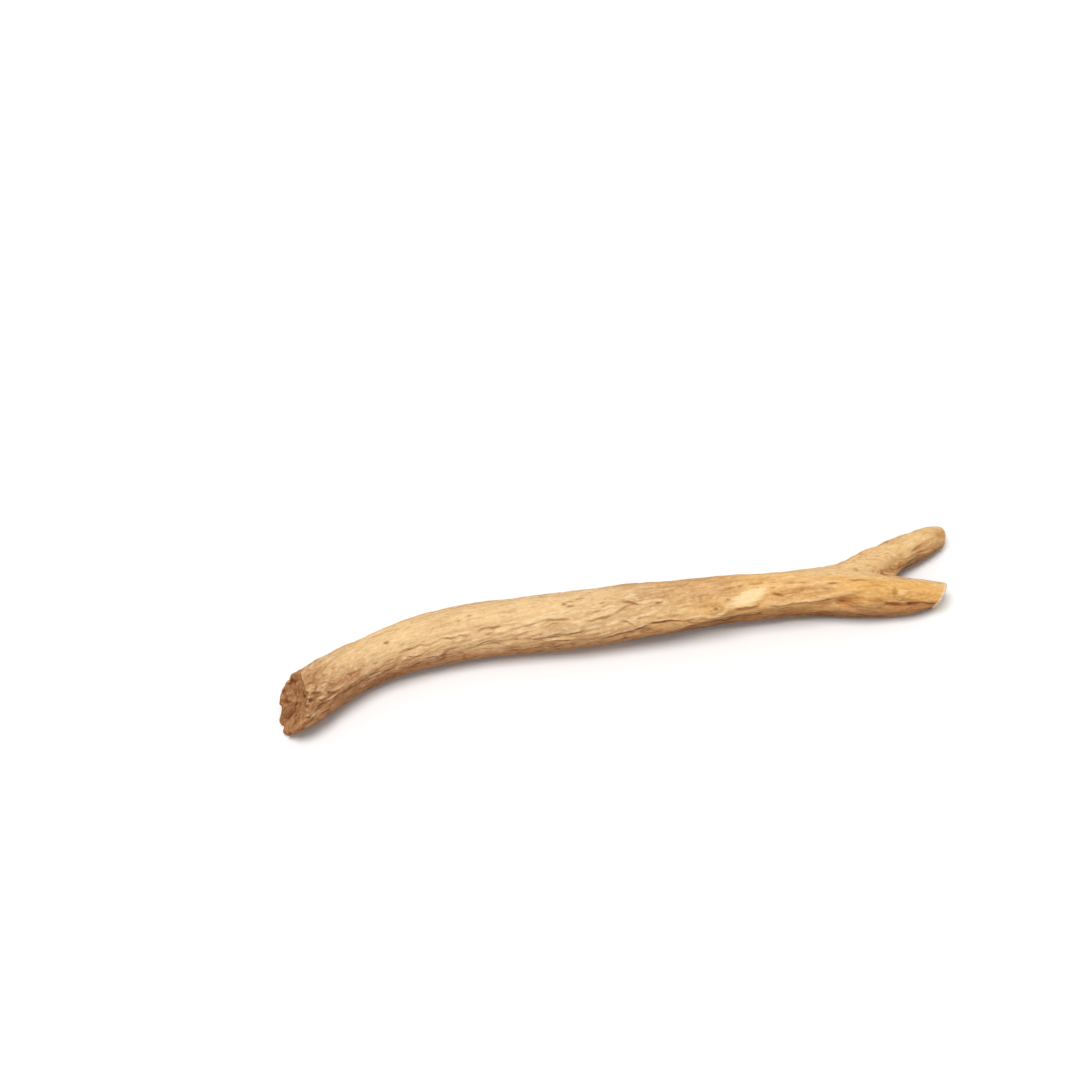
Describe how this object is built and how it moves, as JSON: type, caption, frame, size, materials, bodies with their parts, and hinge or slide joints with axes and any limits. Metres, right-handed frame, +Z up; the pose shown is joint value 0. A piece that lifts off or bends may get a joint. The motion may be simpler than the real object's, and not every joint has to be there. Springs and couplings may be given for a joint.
{
  "type": "ashwagandha root",
  "caption": "Dried ashwagandha root: a slender bent stem, broken off at the thick end, that forks at the other into a slant-cut arm and a thinner blunt branch.",
  "frame": {"origin": "on the resting surface, under the middle of the root's bounding box", "axes": "+X along the root from the broken end to the fork, +Y towards the branch's side, +Z up"},
  "size_m": [0.1189, 0.0207, 0.0097],
  "materials": {
    "bark": "dry, dull, finely wrinkled"
  },
  "bodies": {
    "root": {"root": "bark"}
  },
  "joints": []
}
